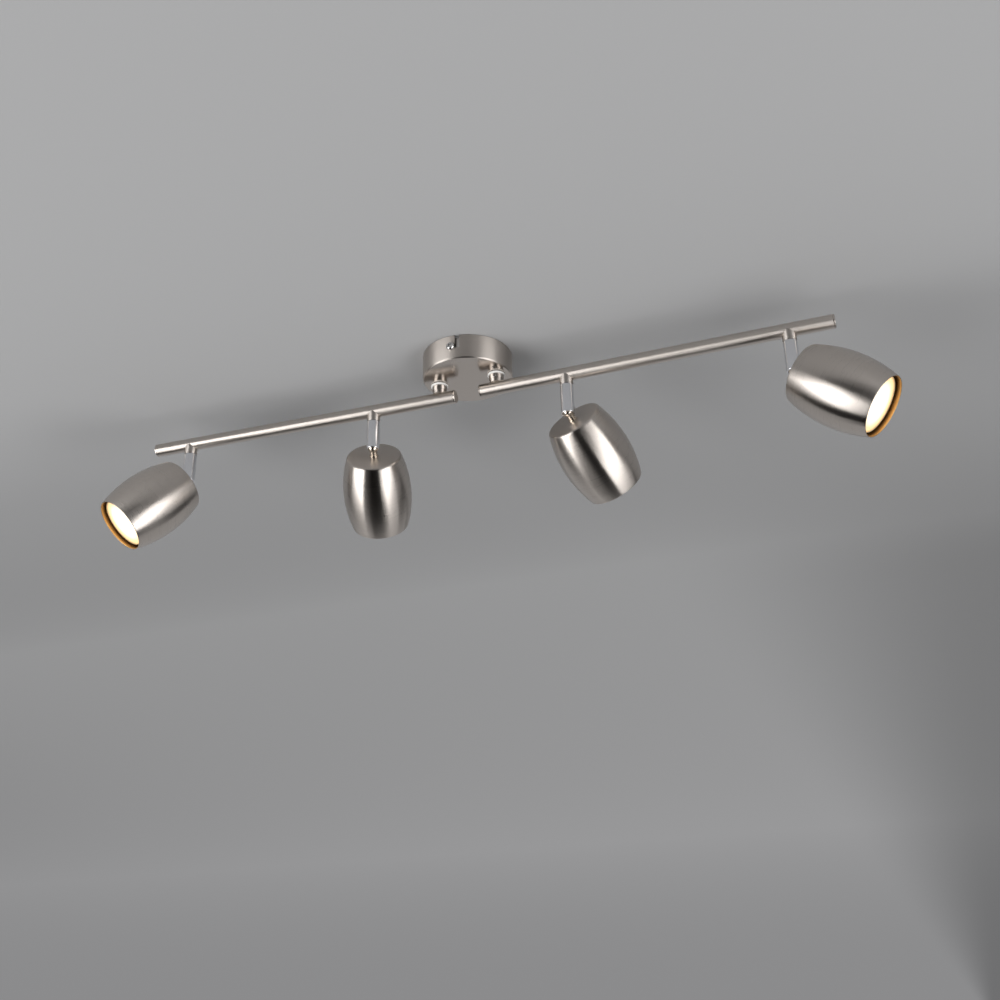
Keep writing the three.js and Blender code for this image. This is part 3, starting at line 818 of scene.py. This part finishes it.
def ceiling_material():
    """Matt grey paint with painted light and shade in soft broad tones. Its upper side is clear, for views
    from above.
    """
    nodes = Nodes("ceiling_paint_and_painted_light")
    split = nodes.add("ShaderNodeSeparateXYZ")
    nodes.link(nodes.row_place(), split.inputs["Vector"])
    # Painted light and shade along Y: lighter near the camera, a painted shadow behind the fixture, lighter
    # far away.
    ramp = nodes.add("ShaderNodeValToRGB")
    near, far = CEILING_PAINTED_LIGHT_AND_SHADE[0][0], CEILING_PAINTED_LIGHT_AND_SHADE[-1][0]
    nodes.link(nodes.ranged(split.outputs["Y"], 0, 1, source=(near, far)), ramp.inputs["Fac"])
    ramp.color_ramp.interpolation = "B_SPLINE"
    while len(ramp.color_ramp.elements) < len(CEILING_PAINTED_LIGHT_AND_SHADE):
        ramp.color_ramp.elements.new(1.0)
    for element, (y, tone) in zip(ramp.color_ramp.elements, CEILING_PAINTED_LIGHT_AND_SHADE):
        element.position = (y - near) / (far - near)
        element.color = (tone, tone, 1.006 * tone, 1)
    # Painted shade, darker towards the right and away from the camera.
    across = nodes.ranged(split.outputs["X"], 0, 1, CEILING_SIDE_SHADE["across"], "SMOOTHSTEP")
    away = nodes.ranged(split.outputs["Y"], 0, 1, CEILING_SIDE_SHADE["away"], "SMOOTHSTEP")
    side = nodes.ranged(nodes.math("MULTIPLY", across, away), 1, CEILING_SIDE_SHADE["tone"], (0, 1))
    shade = nodes.add("ShaderNodeVectorMath", operation="SCALE")
    nodes.link(ramp.outputs["Color"], shade.inputs["Vector"])
    nodes.link(side, shade.inputs["Scale"])
    nodes.link(shade.outputs["Vector"], nodes.shader.inputs["Base Color"])
    nodes.set(Roughness=1.0, Emission_Color=(1, 1, 1, 1))
    nodes.shader.inputs["Specular IOR Level"].default_value = 0.0
    distance = nodes.add("ShaderNodeVectorMath", operation="LENGTH")
    nodes.link(nodes.row_place(), distance.inputs["Vector"])
    edge = (CANOPY_LIGHT["radius"], CANOPY_LIGHT["radius"] + 0.001)
    glow = nodes.ranged(distance.outputs["Value"], CANOPY_LIGHT["strength"], 0, edge)
    nodes.link(glow, nodes.shader.inputs["Emission Strength"])
    nodes.bump(nodes.noise(nodes.row_place(), CEILING_GRAIN["scale"]), CEILING_GRAIN["depth"])
    clear = nodes.add("ShaderNodeBsdfTransparent")
    geometry = nodes.add("ShaderNodeNewGeometry")
    mix = nodes.add("ShaderNodeMixShader")
    nodes.link(geometry.outputs["Backfacing"], mix.inputs["Fac"])
    nodes.link(nodes.shader.outputs["BSDF"], mix.inputs[1])
    nodes.link(clear.outputs["BSDF"], mix.inputs[2])
    nodes.link(mix.outputs["Shader"], nodes.tree.nodes["Material Output"].inputs["Surface"])
    return nodes.material


def make_ceiling():
    facing_down = Matrix.Rotation(math.pi, 4, "X")
    place = Matrix.Translation((0, 0, CEILING_GAP))
    ceiling = stage_plane("ceiling", CEILING_SIZE, CEILING_SIZE, place)
    ceiling.data.transform(facing_down)
    ceiling.data.materials.append(ceiling_material())


def flat_colour(name, value):
    """A matt grey with no shine."""
    nodes = Nodes(name)
    nodes.set(Base_Color=(value, value, value, 1), Roughness=1.0)
    nodes.shader.inputs["Specular IOR Level"].default_value = 0.0
    return nodes.material


def from_direction(azimuth, elevation, distance):
    """A point seen from the fixture: azimuth from -Y towards +X, in degrees and metres."""
    a, e = math.radians(azimuth), math.radians(elevation)
    return Vector((math.sin(a) * math.cos(e), -math.cos(a) * math.cos(e), math.sin(e))) * distance


def facing_fixture(point):
    """Placed at a point, with local -Z towards the fixture."""
    turn = (-point).to_track_quat("-Z", "Y").to_matrix().to_4x4()
    return Matrix.Translation(point) @ turn


def spanning(degrees, distance):
    """The width that fills an angle at a distance."""
    return 2 * distance * math.tan(math.radians(degrees) / 2)


def softbox(name, azimuth, elevation, spread, radiance):
    """A soft light that fills an angle, given as (across, up) in degrees."""
    light = bpy.data.lights.new(name, "AREA")
    light.shape = "RECTANGLE"
    light.size, light.size_y = (spanning(angle, SOFTBOX_DISTANCE) for angle in spread)
    light.energy = WATTS_FOR_RADIANCE * radiance * light.size * light.size_y
    lamp = bpy.data.objects.new(name, light)
    bpy.context.scene.collection.objects.link(lamp)
    lamp.matrix_world = facing_fixture(from_direction(azimuth, elevation, SOFTBOX_DISTANCE))
    lamp.visible_camera = False


def dark_screen(name, width, height, matrix):
    """A black screen that only reflections see."""
    card = stage_plane(name, width, height, matrix)
    card.data.materials.append(flat_colour(name, SCREEN_BLACK))
    card.visible_camera = False
    card.visible_diffuse = False
    card.visible_shadow = False
    card.visible_transmission = False


def dark_card(name, azimuth, elevation, spread):
    """A dark screen that faces the fixture and fills an angle, given as (across, up) in degrees."""
    width, height = (spanning(angle, SCREEN_DISTANCE) for angle in spread)
    dark_screen(name, width, height, facing_fixture(from_direction(azimuth, elevation, SCREEN_DISTANCE)))


def make_studio():
    make_ceiling()
    softbox("left_softbox", azimuth=-44, elevation=-12, spread=(45, 77), radiance=3.1)
    softbox("right_softbox", azimuth=76, elevation=-26, spread=(33, 70), radiance=2.4)
    dark_card("front_screen", azimuth=-10, elevation=-48, spread=(91, 93))
    dark_card("floor_screen", azimuth=0, elevation=-90, spread=(56, 48))
    dark_card("left_edge_screen", azimuth=-95, elevation=-28, spread=(19, 92))
    near, far, width, drop = (BEHIND_CAMERA[k] for k in ("near", "far", "width", "drop"))
    place = Matrix.Translation((0, (near + far) / 2, -drop))
    dark_screen("screen_behind_camera", width, near - far, place)
    dark_card("right_edge_screen", azimuth=136, elevation=-7, spread=(25, 48))
    world = bpy.data.worlds.new("studio")
    bpy.context.scene.world = world
    world.use_nodes = True
    background = world.node_tree.nodes["Background"]
    background.inputs["Color"].default_value = (*ROOM_GREY, 1)
    background.inputs["Strength"].default_value = 1.0


def make_camera():
    camera = bpy.data.objects.new("camera", bpy.data.cameras.new("camera"))
    bpy.context.scene.collection.objects.link(camera)
    turn = Matrix.Rotation(-math.radians(CAMERA["heading"]), 4, "Z")
    lift = Matrix.Rotation(math.radians(90 + CAMERA["rise"]), 4, "X")
    roll = Matrix.Rotation(math.radians(CAMERA["roll"]), 4, "Z")
    camera.matrix_world = Matrix.Translation(CAMERA["place"]) @ turn @ lift @ roll
    camera.data.sensor_width = 36
    camera.data.lens = CAMERA["lens"]
    camera.data.clip_start = 0.01
    camera.data.clip_end = 100
    bpy.context.scene.camera = camera


# ---- Everything ----

make_camera()
make_canopy()
make_canopy_fittings()
for arm_side in ("left", "right"):
    make_arm(arm_side)
for spot_number in SPOT_NUMBERS:
    make_spot(spot_number)
finish_kept_nodes()
make_studio()

view = bpy.context.scene.view_settings
view.view_transform = "Standard"
